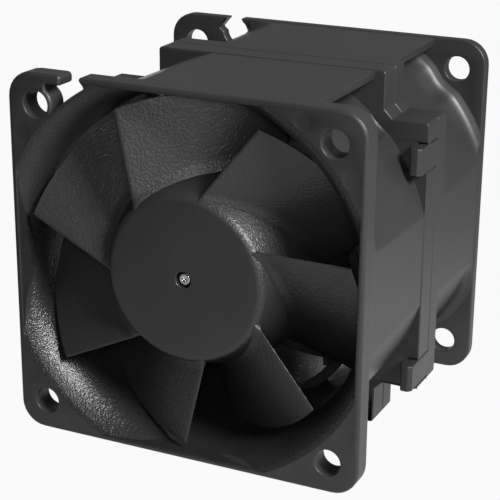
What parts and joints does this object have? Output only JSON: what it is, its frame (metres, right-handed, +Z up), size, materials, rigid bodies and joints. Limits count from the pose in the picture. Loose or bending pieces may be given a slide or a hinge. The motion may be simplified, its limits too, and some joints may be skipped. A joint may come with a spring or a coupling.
{
  "type": "axial cooling fan",
  "caption": "Square counter-rotating axial cooling fan for a rack chassis: clipped twin housings, swept blades on conical hubs, corner screw holes and wire notches",
  "frame": {"origin": "centre of the bounding box, on the fan axis", "axes": "Y along the air flow and the fan axis, from the inlet face at -Y to the outlet face at +Y; Z up; X to the right seen from the inlet"},
  "size_m": [0.06, 0.056, 0.06],
  "materials": {
    "housing_plastic": "fine moulded grain, glass-filled",
    "impeller_plastic": "satin moulded surface",
    "yoke_steel": "drawn sheet",
    "magnet_ferrite": "bonded ferrite, ground inside",
    "shaft_steel": "ground and polished",
    "spring_steel": "bright wire",
    "bearing_steel": "polished",
    "sleeve_brass": "turned",
    "core_steel": "stamped stack",
    "insulator_plastic": "smooth moulded",
    "winding_enamel": "enamelled wire",
    "board_laminate": "lacquered board",
    "chip_plastic": "moulded packages"
  },
  "bodies": {
    "frame": {"front_housing": "housing_plastic", "rear_housing": "housing_plastic", "front_bearing_outer_rings": "bearing_steel", "front_bearing_balls": "bearing_steel", "front_bearing_sleeve": "sleeve_brass", "front_stator_core": "core_steel", "front_stator_insulator": "insulator_plastic", "front_windings": "winding_enamel", "front_circuit_board": "board_laminate", "front_board_parts": "chip_plastic", "rear_bearing_outer_rings": "bearing_steel", "rear_bearing_balls": "bearing_steel", "rear_bearing_sleeve": "sleeve_brass", "rear_stator_core": "core_steel", "rear_stator_insulator": "insulator_plastic", "rear_windings": "winding_enamel", "rear_circuit_board": "board_laminate", "rear_board_parts": "chip_plastic"},
    "front_rotor": {"front_impeller": "impeller_plastic", "front_rotor_yoke": "yoke_steel", "front_magnet_ring": "magnet_ferrite", "front_shaft": "shaft_steel", "front_retaining_ring": "spring_steel", "front_preload_washer": "spring_steel", "front_bearing_inner_rings": "bearing_steel"},
    "rear_rotor": {"rear_impeller": "impeller_plastic", "rear_rotor_yoke": "yoke_steel", "rear_magnet_ring": "magnet_ferrite", "rear_shaft": "shaft_steel", "rear_retaining_ring": "spring_steel", "rear_preload_washer": "spring_steel", "rear_bearing_inner_rings": "bearing_steel"}
  },
  "joints": [
    {"name": "front_spin", "type": "hinge", "parent": "frame", "child": "front_rotor", "pos_m": [0, -0.014, 0], "axis": [0, -1, 0], "continuous": true},
    {"name": "rear_spin", "type": "hinge", "parent": "frame", "child": "rear_rotor", "pos_m": [0, 0.014, 0], "axis": [0, 1, 0], "continuous": true}
  ]
}
